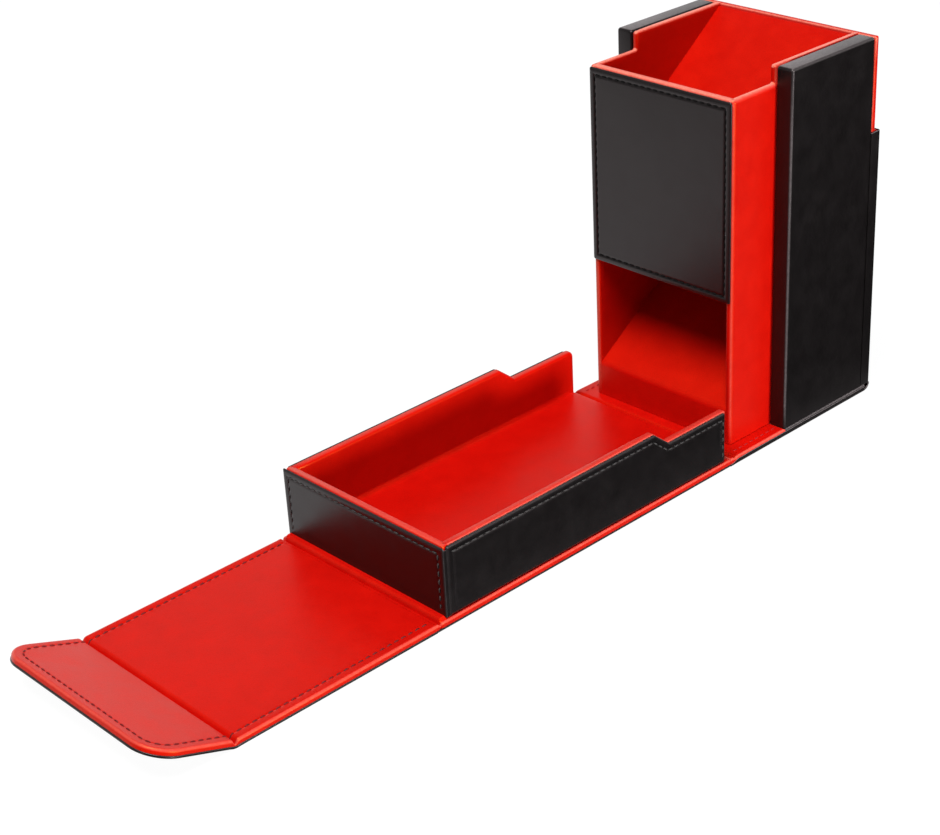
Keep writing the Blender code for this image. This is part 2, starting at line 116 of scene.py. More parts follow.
JOINTS = {joint["name"]: joint for joint in frame["record"]["behaviour"]["joints"]}
TRAY_FOLD = JOINTS["tray_fold"]["pos_m"]
COVER_FOLD = JOINTS["cover_fold"]["pos_m"]
LIP_FOLD = JOINTS["lip_fold"]["pos_m"]
LIP_TURN = radians(-JOINTS["lip_fold"]["range_deg"][0])

# Small distances in the mesh work, and the angle from which an edge is shaded as sharp
HAIR = 0.01 * MM
LEAST_RADIUS = 2e-5
MERGE = 4e-6
CUT_TOLERANCE = 1e-7
SHARP_ANGLE = radians(35)

# The case strip: levels, lip, half the gap between two boards, and overlaps
CASE_HALF = BASE[1].x
CASE_TOP = BASE[1].z
LINING_FOOT = BASE[0].z
LINING_THICK = CASE_TOP - LINING_FOOT
SKIN = BASE_SKIN[1].z
LIP_LENGTH = 35.4 * MM
LIP_CORNER = 12.0 * MM
HALF_GAP = abs(COVER[1].y - COVER_FOLD[1])
GLUE = 0.2 * MM
RUN_ON = 12.0 * MM
BORDER = 0.15 * MM
EDGE_TURN = 2.2 * MM
CREASE = 1.85 * MM
BASE_FRONT = TRAY_FOLD[1] - HALF_GAP + 0.15 * MM
BASE_CHANGE = RIGHT_PANEL[0].y + 0.9 * MM
MARGIN_FROM = 38

# The tower: radius of hidden edges, rims, front panel and ramps
SHARP = 0.1 * MM
FOOT_CLEAR = 7 * MM
RIM_RISE = 0.5 * MM
PANEL_SLIM = 0.5 * MM
PANEL_RISE = 0.35 * MM
WALL_BITE = 1.6 * MM
RAMP_BITE = 0.5 * MM
RAMP_DROP = 3.0 * MM
RAMP_RADIUS = 0.9 * MM
EXIT_SLOPE = radians(34)

# The tray: rim, rear corners, notch, measured from the tower, and black skins
TRAY_RIM = 1.45 * MM
TRAY_CORNERS = {"tray_left": 2.6 * MM, "tray_right": 1.3 * MM}
TRAY_BITE = 1.8 * MM
TRAY_REAR_GAP = 11.0 * MM
LOW_RIM = 26.3 * MM
NOTCH_LOW = 46.4 * MM
NOTCH_HIGH = 55.0 * MM
NOTCH_RADIUS = 1.2 * MM
SKIN_FOOT = 0.3 * MM
SKIN_SHORT = 1.3 * MM
SKIN_DROP = 0.35 * MM
FLOOR_FILLET = 2.2 * MM

# Seams: distances from edges, stitches, and sections of a stitch as place, size and rise
SEAM_INSET = 4.0 * MM
FRONT_SEAM = 2.8 * MM
TRAY_SEAM = 2.8 * MM
TRAY_REAR_SEAM = 1.5 * MM
PITCH = 3.4 * MM
STITCH = 2.4 * MM
THREAD = 0.34 * MM
STITCH_SIDES = 6
STITCH_SECTIONS = (
    (0.0, 0.35, -0.75), (0.1, 0.85, -0.1), (0.3, 1.0, 0.35),
    (0.7, 1.0, 0.35), (0.9, 0.85, -0.1), (1.0, 0.35, -0.75))

# Leatherette: colours, sizes of its grain and of what varies it, and heights of its relief
RED = (0.52, 0.0026, 0.0014)
# The paler edge colours stand for wear and for a painted highlight along rims and rounded edges.
RED_WORN_AND_LIT = (0.84, 0.268, 0.195)
BLACK = (0.0027, 0.0022, 0.0023)
BLACK_WORN_AND_LIT = (0.30, 0.26, 0.265)
GRAIN = 0.75 * MM
WARP_SIZE = 1.6 * MM
WARP_REACH = 0.35 * MM
FINE_SIZE = 0.22 * MM
WAVE_SIZE = 22 * MM
CLOUD_SIZE = 9 * MM
PATCH_SIZE = 1.1 * MM
RELIEF = 0.018 * MM
WAVINESS = 0.10 * MM


def clamp(value, low=0.0, high=1.0):
    """The value, kept between low and high."""
    return min(max(value, low), high)


def hump(value, centre, width):
    """One at the centre, falling away smoothly on both sides."""
    return exp(-((value - centre) / width) ** 2)


def quarter(steps):
    """Angles from nothing to a right angle."""
    return [pi / 2 * k / steps for k in range(steps + 1)]


# Outlines: corners with a place and a radius
def inset(corners, distance):
    """Corners of a counter-clockwise outline with every edge moved inwards."""
    count = len(corners)
    lines = []
    for index in range(count):
        start = Vector(corners[index][:2])
        end = Vector(corners[(index + 1) % count][:2])
        along = (end - start).normalized()
        lines.append((start + Vector((-along.y, along.x)) * distance, along))
    moved = []
    for index in range(count):
        point, along = lines[index - 1]
        other, across = lines[index]
        cross = along.cross(across)
        moved.append(point + along * ((other - point).cross(across) / cross))
    return moved


def ring(corners, distance, arc_steps, step):
    """Points round an outline at a distance inside it, as many for every distance."""
    moved = inset(corners, distance)
    count = len(corners)
    runs = []
    for index in range(count):
        here = moved[index]
        radius = corners[index][2]
        if not radius:
            runs.append([here])
            continue
        before = (here - moved[index - 1]).normalized()
        after = (moved[(index + 1) % count] - here).normalized()
        turn = atan2(before.cross(after), before.dot(after))
        radius = max(radius - distance, LEAST_RADIUS) if turn > 0 else radius + distance
        reach = radius * tan(abs(turn) / 2)
        start = here - before * reach
        side = Vector((-before.y, before.x)) * (radius if turn > 0 else -radius)
        centre = start + side
        spoke = start - centre
        run = []
        for k in range(arc_steps + 1):
            c, s = cos(turn * k / arc_steps), sin(turn * k / arc_steps)
            run.append(centre + Vector((spoke.x * c - spoke.y * s, spoke.x * s + spoke.y * c)))
        runs.append(run)
    points = []
    for index in range(count):
        points += runs[index]
        after = (index + 1) % count
        length = (Vector(corners[after][:2]) - Vector(corners[index][:2])).length
        pieces = max(1, ceil(length / step))
        last, first = runs[index][-1], runs[after][0]
        for k in range(1, pieces):
            points.append(last.lerp(first, k / pieces))
    return points


def rectangle(low_a, low_b, high_a, high_b, *radii):
    """Outline with no radius, one for all corners or one for each."""
    corners = ((low_a, low_b), (high_a, low_b), (high_a, high_b), (low_a, high_b))
    return [(*corner, radius) for corner, radius in zip(corners, (radii or (0,)) * 4)]


# Profiles: rows of distance from the outline, level, wear with painted highlight, and dent
def rounded(thick, low_radius, high_radius, steps, hold=0.25 * MM, worn=1.0):
    """Profile of a slab's edge, from its low face round to its high face, paler halfway round each rounding
    as wear and painted highlight.
    """
    rows = [(low_radius + hold, 0.0, 0, 0)]
    for turn in quarter(steps):
        level = low_radius * (1 - cos(turn))
        rows.append((low_radius * (1 - sin(turn)), level, sin(2 * turn) * worn, 0.0))
    for turn in quarter(steps):
        level = thick - high_radius * (1 - sin(turn))
        rows.append((high_radius * (1 - cos(turn)), level, sin(2 * turn) * worn, 0.0))
    rows.append((high_radius + hold, thick, 0, 0))
    return rows


def pillow(thick, foot, reach, worn):
    """Profile of a thin sheet whose border is drawn down towards its edge, and paler there, as wear and
    painted highlight.
    """
    rows = [(0.3 * MM, 0.0, 0, 0), (0.0, 0.0, 0, 0)]
    for turn in quarter(7):
        level = foot + (thick - foot) * sin(turn)
        rows.append((reach * (1 - cos(turn)), level, worn * cos(turn) ** 4, 0.0))
    return rows


def seam(at, thick, depth=0.22 * MM, width=0.9 * MM, sink=0.1 * MM):
    """More profile rows: the furrow that a row of stitches pulls into a face."""
    rows = [(at - width, thick, 0, 0)]
    for share, fall in ((-0.5, 0.35), (-0.2, 0.85), (0.0, 1.0), (0.2, 0.9), (0.5, 0.55)):
        rows.append((at + share * width, thick, 0.0, -fall * depth))
    rows.append((at + width, thick, 0.0, -sink))
    rows.append((at + width + 0.6 * MM, thick, 0.0, -sink))
    return rows


# Meshes
def lift(point, axis, level):
    """Point of an outline that faces along an axis, at its level there."""
    places = {"X": (level, *point), "Y": (point.x, level, point.y), "Z": (*point, level)}
    return Vector(places[axis])


def close(mesh, rings):
    """Faces between rings of points, and one over each end."""
    for low, high in zip(rings, rings[1:]):
        for k in range(len(low)):
            after = (k + 1) % len(low)
            mesh.faces.new((low[k], low[after], high[after], high[k]))
    mesh.faces.new(rings[0])
    mesh.faces.new(rings[-1])


def slab_mesh(corners, axis, base, sign, profile, arc_steps=6, step=12 * MM, fade=None):
    """Closed mesh with the profile as the section of its edge, grown from base by sign."""
    mesh = bmesh.new()
    wear = mesh.verts.layers.float.new("wear")
    rings = []
    for distance, level, worn, dent in profile:
        row = []
        for point in ring(corners, distance, arc_steps, step):
            share = fade(point) if fade and dent else 1.0
            vertex = mesh.verts.new(lift(point, axis, base + sign * (level + dent * share)))
            # How much of the paler edge colour, wear and painted highlight, this point takes.
            vertex[wear] = worn
            row.append(vertex)
        rings.append(row)
    close(mesh, rings)
    bmesh.ops.remove_doubles(mesh, verts=mesh.verts, dist=MERGE)
    bmesh.ops.recalc_face_normals(mesh, faces=mesh.faces[:])
    return mesh


def rub(mesh, rule):
    """Sets each point's share of the paler edge colour, for wear and painted highlight, from its place and
    the way it faces.
    """
    wear = mesh.verts.layers.float["wear"]
    mesh.normal_update()
    for vertex in mesh.verts:
        vertex[wear] = max(rule(vertex.co, vertex.normal), 0.0)


def stand(mesh, foot, reach):
    """The rounding round a mesh stops at its foot, which is flat up to its sides."""
    for vertex in mesh.verts:
        if vertex.co.z < foot + reach:
            vertex.co.z = foot
    mesh.normal_update()


def bell(side, main, lean, width):
    """One where a normal leans by so many degrees from main to side, else less."""
    return hump(degrees(atan2(side, main)), lean, width)


def upright_highlight(place, normal):
    """Outer upright corners get a little painted highlight, feet none."""
    if normal.x * place.x < 0 or place.z < FOOT_CLEAR:
        return 0.0
    corner = max(0.0, 1 - abs(abs(normal.x) - abs(normal.y)) / 0.6)
    return 0.3 * corner * max(0.0, 1 - 2 * abs(normal.z))


def side_rim_highlight(place, normal):
    """Painted highlight on the crown and towards the inside, and on the left wall's front end."""
    inward = -normal.x if place.x > 0 else normal.x
    crown = 1.3 * bell(inward, normal.z, 8, 44) if normal.z > 0.2 else 0.0
    faces_front = place.x < 0 and normal.y < -0.8
    lit_front_end = 0.3 if faces_front and FOOT_CLEAR < place.z < FRONT_WALL[0].z else 0.0
    return max(crown, lit_front_end) + upright_highlight(place, normal)


def back_rim_highlight(place, normal):
    """Painted highlight where the rim turns to the inside."""
    crown = 1.2 * bell(-normal.y, normal.z, 52, 25) if normal.z > 0.0 else 0.0
    return crown + upright_highlight(place, normal)


def front_rim_highlight(place, normal):
    """Painted highlight on the crown and towards the front."""
    return 1.3 * bell(-normal.y, normal.z, 24, 38) if normal.z > 0.05 else 0.0


def cut(mesh, axis, place, sign, clear):
    """Adds edges where a plane across an axis meets a mesh, and can clear what lies beyond."""
    point, normal = Vector(), Vector()
    point[axis], normal[axis] = place, sign
    geometry = mesh.verts[:] + mesh.edges[:] + mesh.faces[:]
    return bmesh.ops.bisect_plane(
        mesh, geom=geometry, dist=CUT_TOLERANCE, plane_co=point, plane_no=normal, clear_outer=clear)


def cut_across(mesh, places, axis=1):
    """Adds edges across a mesh at the given places, so that it can bend there."""
    for place in places:
        cut(mesh, axis, place, 1, False)


def cut_end(mesh, place, sign):
    """Cuts a lying strip straight across, where its edges and seams go on into the next piece."""
    found = cut(mesh, 1, place, sign, True)["geom_cut"]
    bmesh.ops.holes_fill(mesh, edges=[item for item in found if isinstance(item, bmesh.types.BMEdge)])


def move(mesh, change):
    """Puts every point where the change says."""
    for vertex in mesh.verts:
        vertex.co = change(vertex.co)


def placed(name, data):
    """New object in the scene."""
    item = bpy.data.objects.new(name, data)
    bpy.context.scene.collection.objects.link(item)
    return item


def add(material, slot, name, mesh, body, replaced=(), blended=None):
    """Object from a mesh, with its material, riding on its body or bending between two."""
    data = bpy.data.meshes.new(name)
    bmesh.ops.recalc_face_normals(mesh, faces=mesh.faces[:])
    mesh.to_mesh(data)
    mesh.free()
    data.shade_smooth()
    data.set_sharp_from_angle(angle=SHARP_ANGLE)
    piece = placed(name, data)
    data.materials.append(material)
    if blended:
        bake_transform(piece, body, blended[0], start=blended[1], end=blended[2])
    else:
        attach(piece, body)
    if replaced:
        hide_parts(*replaced)


def bend(body, fold):
    """The body beyond a fold, and where a sheet across it starts and ends to bend."""
    return body, (0, fold[1] + HALF_GAP, fold[2]), (0, fold[1] - HALF_GAP, fold[2])


# Materials
class Nodes:
    """Short calls for the nodes of a material or of the world."""

    def __init__(self, owner):
        owner.use_nodes = True
        self.owner = owner
        self.tree = owner.node_tree
        self.shader = self.tree.nodes.get("Principled BSDF")

    def put(self, kind, **sockets):
        """New node, with each keyword as one of its inputs or else as a property."""
        node = self.tree.nodes.new(kind)
        for key, value in sockets.items():
            if key in node.inputs.keys():
                self.feed(node.inputs[key], value)
            else:
                setattr(node, key, value)
        return node

    def feed(self, socket, value):
        if isinstance(value, bpy.types.NodeSocket):
            self.tree.links.new(value, socket)
        else:
            socket.default_value = value

    def fill(self, node, *values):
        """Feeds the node's first inputs in turn and gives its first output."""
        for socket, value in zip(node.inputs, values):
            self.feed(socket, value)
        return node.outputs[0]

    def shade(self, **sockets):
        """Feeds the shader's inputs, named with underscores for spaces."""
        for key, value in sockets.items():
            self.feed(self.shader.inputs[key.replace("_", " ")], value)

    def place(self, kind="Object"):
        return self.put("ShaderNodeTexCoord").outputs[kind]

    def noise(self, place, size, detail, roughness=0.5, output="Fac"):
        node = self.put(
            "ShaderNodeTexNoise", Vector=place, Scale=1.0 / size, Detail=detail, Roughness=roughness)
        return node.outputs[output]

    def spread(self, value, low, high, to_low=0.0, to_high=1.0):
        """Maps one range of values onto another."""
        return self.fill(self.put("ShaderNodeMapRange"), value, low, high, to_low, to_high)

    def ease(self, value, low, high, to_low, to_high):
        """Like spread, but it starts and ends gently."""
        result = self.spread(value, low, high, to_low, to_high)
        result.node.interpolation_type = "SMOOTHSTEP"
        return result

    def maths(self, operation, first, second):
        return self.fill(self.put("ShaderNodeMath", operation=operation), first, second)

    def mix(self, share, first, second):
        node = self.put("ShaderNodeMix", data_type="RGBA")
        self.feed(node.inputs[0], share)
        for socket, value in ((node.inputs[6], first), (node.inputs[7], second)):
            self.feed(socket, (*value, 1.0) if isinstance(value, tuple) else value)
        return node.outputs[2]

    def seen(self, path):
        """One for rays that show in the picture as they are."""
        return self.maths("MAXIMUM", path["Is Camera Ray"], path["Is Transmission Ray"])

    def bump(self, height, distance, below=None):
        node = self.put("ShaderNodeBump", Distance=distance, Height=height)
        if below:
            self.feed(node.inputs["Normal"], below)
        return node.outputs["Normal"]


def tinted(colour, share):
    return tuple(min(1.0, part * share) for part in colour)


def leather(name, colour, worn, roughness, specular, wear_and_highlight_share, tint):
    """Grained leatherette: pebbled grain, faint waves from the board below, and paler edges that stand for
    wear and painted highlight.
    """
    n = Nodes(bpy.data.materials.new(name))
    place = n.place()
    warp = n.noise(place, WARP_SIZE, 2.0, output="Color")
    shift = n.fill(n.put("ShaderNodeVectorMath", operation="SCALE", Scale=WARP_REACH), warp)
    moved = n.fill(n.put("ShaderNodeVectorMath", operation="ADD"), place, shift)
    cells = n.put("ShaderNodeTexVoronoi", feature="DISTANCE_TO_EDGE", Vector=moved, Scale=1.0 / GRAIN)
    pebbles = n.spread(cells.outputs["Distance"], 0.0, 0.22)
    fine = n.noise(place, FINE_SIZE, 3.0, 0.6)
    broad = n.noise(place, WAVE_SIZE, 3.0, 0.55)
    cloud = n.noise(place, CLOUD_SIZE, 4.0, 0.6)
    patch = n.noise(place, PATCH_SIZE, 3.0, 0.65)
    height = n.maths("ADD", n.maths("MULTIPLY", pebbles, 0.7), n.maths("MULTIPLY", fine, 0.5))
    n.shade(Normal=n.bump(height, RELIEF, n.bump(broad, WAVINESS)))
    clouded = n.mix(n.spread(cloud, 0.3, 0.7), tinted(colour, 0.93), tinted(colour, 1.06))
    pitted = n.mix(n.spread(pebbles, 0.0, 0.5, 0.35, 0.0), clouded, tinted(colour, 0.6))
    # Paler edge colour from the attribute: wear, mottled in patches, and painted highlight.
    edge = n.put("ShaderNodeAttribute", attribute_name="wear").outputs["Fac"]
    wear_and_highlight_mix = n.maths("MULTIPLY", edge, n.spread(patch, 0.3, 0.7, wear_and_highlight_share * 0.55, wear_and_highlight_share))
    n.shade(Base_Color=n.mix(wear_and_highlight_mix, pitted, worn))
    uneven = n.maths("ADD", n.maths("MULTIPLY", cloud, 0.5), n.maths("MULTIPLY", fine, 0.5))
    n.shade(Roughness=n.spread(uneven, 0.35, 0.65, roughness - 0.05, roughness + 0.06))
    n.shade(Specular_IOR_Level=specular, Specular_Tint=(*tint, 1))
    return n.owner


def thread(name, colour, specular=0.3):
    """Twisted sewing thread."""
    n = Nodes(bpy.data.materials.new(name))
    place = n.place()
    fuzz = n.noise(place, 0.25 * MM, 2.0)
    n.shade(Base_Color=n.mix(fuzz, tinted(colour, 0.7), tinted(colour, 1.3)))
    twist = n.put("ShaderNodeTexWave", Vector=place, Scale=1.0 / (1.4 * MM), Distortion=1.0)
    n.shade(Normal=n.bump(twist.outputs["Fac"], 0.04 * MM))
    n.shade(Roughness=n.spread(fuzz, 0.3, 0.7, 0.55, 0.75), Specular_IOR_Level=specular)
    return n.owner


def greyboard():
    """Pressed grey pulp with darker fibres."""
    n = Nodes(bpy.data.materials.new("greyboard"))
    pulp = n.noise(n.place(), 0.9 * MM, 5.0, 0.7)
    n.shade(Base_Color=n.mix(n.spread(pulp, 0.35, 0.65), (0.25, 0.23, 0.20), (0.42, 0.39, 0.34)))
    n.shade(Normal=n.bump(pulp, 0.05 * MM), Roughness=n.spread(pulp, 0.3, 0.7, 0.85, 0.97))
    return n.owner


def metal(name, colour, roughness):
    """Plated or rolled metal with fine scratches."""
    n = Nodes(bpy.data.materials.new(name))
    scratch = n.noise(n.place(), 0.3 * MM, 4.0, 0.7)
    n.shade(Base_Color=n.mix(scratch, tinted(colour, 0.85), tinted(colour, 1.1)))
    n.shade(Roughness=n.spread(scratch, 0.3, 0.7, roughness - 0.08, roughness + 0.1))
    n.shade(Normal=n.bump(scratch, 0.01 * MM), Metallic=1.0)
    return n.owner


RED_LEATHER = leather(
    "red_leatherette", RED, RED_WORN_AND_LIT, roughness=0.34, specular=0.39, wear_and_highlight_share=0.75,
    tint=(1.0, 0.50, 0.06))
BLACK_LEATHER = leather(
    "black_leatherette", BLACK, BLACK_WORN_AND_LIT, roughness=0.33, specular=0.46, wear_and_highlight_share=0.5,
    tint=(1.0, 0.86, 0.87))
add_red = partial(add, RED_LEATHER, "red_leatherette")
add_black = partial(add, BLACK_LEATHER, "black_leatherette")
RED_THREAD = thread("dark_red_thread", (0.12, 0.0011, 0.0014))
FAINT_THREAD = thread("red_thread", (0.33, 0.002, 0.002))
BLACK_THREAD = thread("black_thread", (0.0035, 0.003, 0.003), 0.10)
# A lighter copy of the black thread: its paler colour is a painted highlight on the tray's stitches.
LIT_BLACK_THREAD = thread("waxed_black_thread", (0.030, 0.027, 0.027), 0.45)
BOARD = greyboard()
STEEL = metal("catch_steel", (0.56, 0.56, 0.57), 0.35)
NICKEL = metal("magnet_nickel", (0.66, 0.63, 0.58), 0.25)


def dress_solids():
    """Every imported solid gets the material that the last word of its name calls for."""
    materials = {"board": BOARD, "plate": STEEL, "magnet": NICKEL, "lining": RED_LEATHER}
    for name, node in frame["nodes"].items():
        node.data.materials.clear()
        node.data.materials.append(materials.get(name.rsplit("_", 1)[-1], BLACK_LEATHER))


# Tower
def side_walls():
    """Linings wrapped round the side walls, whose rims step down at the front."""
    step_y = RIGHT_PANEL[0].y
    step_z = FRONT_WALL[1].z + RIM_RISE
    rear_lap = 0.8 * MM
    inner, outer = 0.9 * MM, 1.6 * MM
    for name, low, high in (("left_wall", *LEFT_WALL), ("right_wall", *RIGHT_WALL)):
        outline = [
            (low.y, low.z, 0), (high.y + rear_lap, low.z, 0), (high.y + rear_lap, high.z, 0),
            (step_y, high.z, 1.2 * MM), (step_y, step_z, 0.8 * MM), (low.y, step_z, 1.3 * MM),
        ]
        thick = high.x - low.x
        if low.x > 0:
            face = high.x
            profile = rounded(thick, inner, outer, 6) + [(2 * outer, thick, 0, 0)]
        else:
            face = low.x
            profile = [(2 * outer, 0.0, 0, 0)] + rounded(thick, outer, inner, 6)
        mesh = slab_mesh(outline, "X", low.x, 1, profile)
        stand(mesh, low.z, outer + HAIR)

        def crisp(vertex):
            """Beside its side panel the rim's outer edge is sharper, which leaves a dark line there."""
            gap = face - vertex.x
            drop = high.z - vertex.z
            if abs(gap) > outer + HAIR or drop > 1.5 * outer:
                return vertex.copy()
            near = clamp((vertex.y - step_y - MM) / (1.5 * MM))
            share = 1 - 0.7 * near if drop < outer + HAIR else 1.0
            inward = -0.45 * MM * near if face > 0 else 0.45 * MM * near
            return Vector((face - gap * share + inward, vertex.y, high.z - drop * share))

        move(mesh, crisp)
        rub(mesh, side_rim_highlight)
        add_red(name + "_cover", mesh, "tower", [name + "_lining"])


def back_wall():
    """Lining round the back wall, narrower below, where the back panel's skin covers it."""
    low, high = BACK_WALL
    step = BACK_SKIN[1].z + GLUE
    narrow = high.x - SKIN - GLUE
    outline = [
        (-narrow, low.z, 0), (narrow, low.z, 0), (narrow, step, 0),
        (high.x, step, 0.5 * MM), (high.x, high.z, 0.8 * MM),
        (low.x, high.z, 0.8 * MM), (low.x, step, 0.5 * MM), (-narrow, step, 0),
    ]
    mesh = slab_mesh(outline, "Y", low.y, 1, rounded(high.y - low.y, 0.9 * MM, 1.6 * MM, 6))
    rub(mesh, back_rim_highlight)
    add_red("back_wall_cover", mesh, "tower", ["back_wall_lining"])


def between_walls(outline, box, bite, arc_steps=6):
    """Mesh of a board that spans the tower and runs a little into both side walls."""
    low, high = box
    profile = rounded(high.x - low.x + 2 * bite, SHARP, SHARP, 1)
    return slab_mesh(outline, "X", low.x - bite, 1, profile, arc_steps)


def front_wall():
    """Lining round the upper front wall."""
    low, high = FRONT_WALL
    top = high.z + RIM_RISE
    outline = rectangle(low.y, low.z, high.y, top, 0.9 * MM, 0.9 * MM, 0.7 * MM, 1.5 * MM)
    mesh = between_walls(outline, FRONT_WALL, WALL_BITE)
    rub(mesh, front_rim_highlight)
    add_red("front_wall_cover", mesh, "tower", ["front_wall_lining"])


def sill_and_exit_ramp():
    """One lining runs down the exit ramp and over the sill to the foot of the tower."""
    low, high = SILL
    foot = low.z - 0.1 * MM
    nose = high.z - (high.y - low.y) * tan(EXIT_SLOPE)
    rear, ramp_top = EXIT_RAMP[1].y + RAMP_BITE, EXIT_RAMP[1].z
    outline = [
        (low.y, foot, 0), (high.y, foot, 0), (high.y, high.z - RAMP_DROP, 0),
        (rear, ramp_top - RAMP_DROP, 0), (rear, ramp_top, 0), (low.y, nose, 3.6 * MM),
    ]
    mesh = between_walls(outline, SILL, RAMP_BITE, arc_steps=10)
    add_red("exit_ramp_cover", mesh, "tower", ["sill_lining", "exit_ramp_lining"])


def upper_ramps():
    """One slopes down from the front wall; the other climbs to just below the back wall's rim."""
    low, high = MIDDLE_RAMP
    middle = ((low.y, high.z - RAMP_DROP), (high.y, low.z), (high.y, low.z + RAMP_DROP), (low.y, high.z))
    low, high = UPPER_RAMP
    rear = high.y + RAMP_BITE
    top = BACK_WALL[1].z - 0.4 * MM
    upper = ((low.y, low.z), (rear, high.z - RAMP_DROP), (rear, top), (low.y, low.z + RAMP_DROP))
    for name, box, ends in (("middle_ramp", MIDDLE_RAMP, middle), ("upper_ramp", UPPER_RAMP, upper)):
        mesh = between_walls([(a, b, RAMP_RADIUS) for a, b in ends], box, RAMP_BITE)
        add_red(name + "_cover", mesh, "tower", [name + "_lining"])


def side_panels():
    """Thick panels beside the tower, which stand on flat feet."""
    edge = 1.1 * MM
    corner = 1.2 * MM
    for name, box, sign in (("left_side_panel", LEFT_PANEL, -1), ("right_side_panel", RIGHT_PANEL, 1)):
        low, high = box
        base = (low if sign > 0 else high).x
        thick = high.x - low.x
        outer = base + sign * thick
        profile = rounded(thick, MM, edge, 5)
        profile += [(5 * MM, thick, 0, -0.04 * MM), (14 * MM, thick, 0, 0)]
        outline = rectangle(low.y, low.z, high.y, high.z, 0, 0, corner, corner)
        mesh = slab_mesh(outline, "X", base, sign, profile)
        stand(mesh, low.z, 1.15 * MM)

        def squared(vertex):
            """The rear edge meets the back without a groove."""
            near = clamp((vertex.y - high.y + 1.6 * MM) / (0.4 * MM))
            near *= clamp((high.z - vertex.z - 1.5 * MM) / (3 * MM))
            gap = outer - vertex.x
            if abs(gap) > 1.2 * MM:
                return vertex.copy()
            return Vector((outer - gap * (1 - 0.75 * near), vertex.y, vertex.z))

        def edges(place, normal):
            """Painted highlight: most on the front upright edge, less near the top, and on the top, less
            towards the rear.
            """
            outward = sign * normal.x
            if place.z < low.z + 1.3 * MM:
                return 0.0
            front = 0.7 * bell(outward, -normal.y, 45, 20) if normal.y < -0.2 else 0.0
            front *= clamp((high.z - place.z) / (25 * MM), 0.2)
            lit_top = 1.0 - 0.6 * (place.y - low.y) / (high.y - low.y)
            top = max(0.3 * bell(outward, normal.z, 45, 25), lit_top * (normal.z - 0.85) / 0.15)
            return max(front, top if normal.z > 0.2 else 0.0)

        rub(mesh, edges)
        move(mesh, squared)
        add_black(name + "_cover", mesh, "tower", [name + "_skin"])


def front_panel():
    """Stitched skin on the upper front wall."""
    low, high = FRONT_SKIN
    thick = high.y - low.y
    profile = pillow(thick, 0.22 * MM, 1.7 * MM, 0.08)
    profile += seam(FRONT_SEAM, thick, 0.42 * MM, 0.8 * MM, 0.08 * MM)
    profile += [(9 * MM, thick, 0, 0)]
    outline = rectangle(low.x + PANEL_SLIM, low.z, high.x - PANEL_SLIM, high.z + PANEL_RISE, 0.9 * MM)
    mesh = slab_mesh(outline, "Y", high.y, -1, profile)
    add_black("front_panel_cover", mesh, "tower", ["front_panel_skin"])


# The case strip
def turned(vertex):
    """Bends what lies beyond the lip's fold up to where the lip rests."""
    reach = LIP_FOLD[1] + HALF_GAP - vertex.y
    share = clamp(reach / (2 * HALF_GAP))
    angle = LIP_TURN * share * share * (3 - 2 * share)
    along, up = vertex.y - LIP_FOLD[1], vertex.z - LIP_FOLD[2]
    return Vector((
        vertex.x,
        LIP_FOLD[1] + along * cos(angle) + up * sin(angle),
        LIP_FOLD[2] - along * sin(angle) + up * cos(angle)))


def fold_cuts(fold, count=9, reach=1.3):
    """Places of the edges that let a sheet bend at a fold."""
    return [fold[1] + HALF_GAP * reach * k / count for k in range(-count, count + 1)]


def lip_groove(vertex):
    """How far the top of the cover's lining falls at the lip's fold."""
    gap = (vertex.y - LIP_FOLD[1]) / HALF_GAP
    return CREASE * exp(-(gap * gap) / 0.15)


def cover_outline(border):
    """The cover and the lip lying flat, with a border round them, running on at the tray."""
    side, corner = CASE_HALF + border, LIP_CORNER + border
    far = LIP_FOLD[1] - LIP_LENGTH - border
    near = COVER[1].y + RUN_ON
    return [(-side, far, corner), (side, far, corner), (side, near, 0), (-side, near, 0)]


def cover_and_lip():
    """Lining with its seam, and the skin below it, from the tray to the lip's end."""
    profile = rounded(LINING_THICK, SHARP, 1.05 * MM, 5, worn=0.36) + seam(SEAM_INSET, LINING_THICK)
    mesh = slab_mesh(cover_outline(0.0), "Z", LINING_FOOT, 1, profile, arc_steps=12, step=6 * MM)
    cut_end(mesh, COVER[1].y, 1)
    cut_across(mesh, fold_cuts(LIP_FOLD, 16))

    def crease(vertex):
        height = (vertex.z - LINING_FOOT) / LINING_THICK
        fall = lip_groove(vertex) * max(height, 0.0)
        return turned(Vector((vertex.x, vertex.y, vertex.z - fall)))

    move(mesh, crease)
    add_red("cover_lining_sheet", mesh, "cover",
            ["cover_lining", "lip_hinge_lining", "lip_lining"], bend("lip", LIP_FOLD))
    profile = rounded(SKIN + GLUE, 0.3 * MM, 0.3 * MM, 3, worn=0.15)
    mesh = slab_mesh(cover_outline(BORDER), "Z", 0.0, 1, profile, arc_steps=12, step=6 * MM)
    cut_end(mesh, COVER[1].y, 1)
    cut_across(mesh, fold_cuts(LIP_FOLD))
    move(mesh, turned)
    add_black("cover_skin_sheet", mesh, "cover",
              ["cover_skin", "lip_hinge_skin", "lip_skin"], bend("lip", LIP_FOLD))


